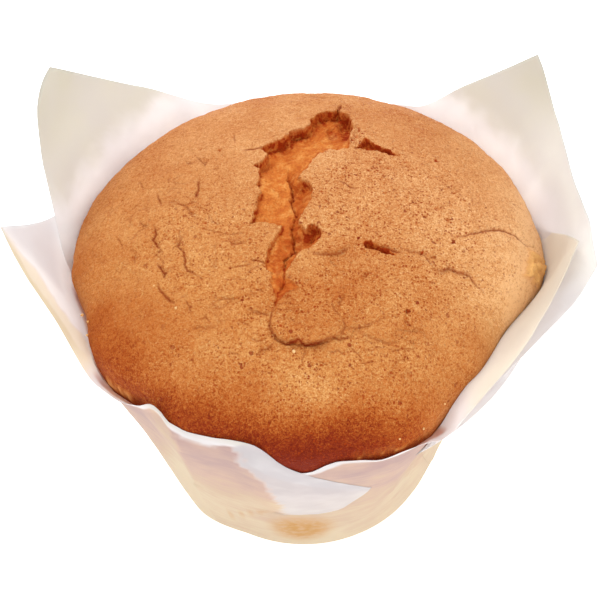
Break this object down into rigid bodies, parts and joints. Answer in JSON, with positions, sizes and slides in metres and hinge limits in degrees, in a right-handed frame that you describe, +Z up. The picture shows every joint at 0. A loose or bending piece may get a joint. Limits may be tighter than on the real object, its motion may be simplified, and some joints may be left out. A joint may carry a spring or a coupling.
{
  "type": "cupcake",
  "caption": "Plain domed cupcake, split along the top, baked in a flared tulip case of folded parchment with petal corners standing up.",
  "frame": {"origin": "centre of the flat round base of the paper case, on the surface it stands on", "axes": "+Z up along the axis of the case, -Y towards the low front of the case with its folded flap"},
  "size_m": [0.1035, 0.0903, 0.0816],
  "materials": {
    "baked_sponge": "matte, porous browned crust",
    "parchment": "satin, translucent"
  },
  "bodies": {
    "root": {"sponge_cake": "baked_sponge", "paper_case": "parchment"}
  },
  "joints": []
}
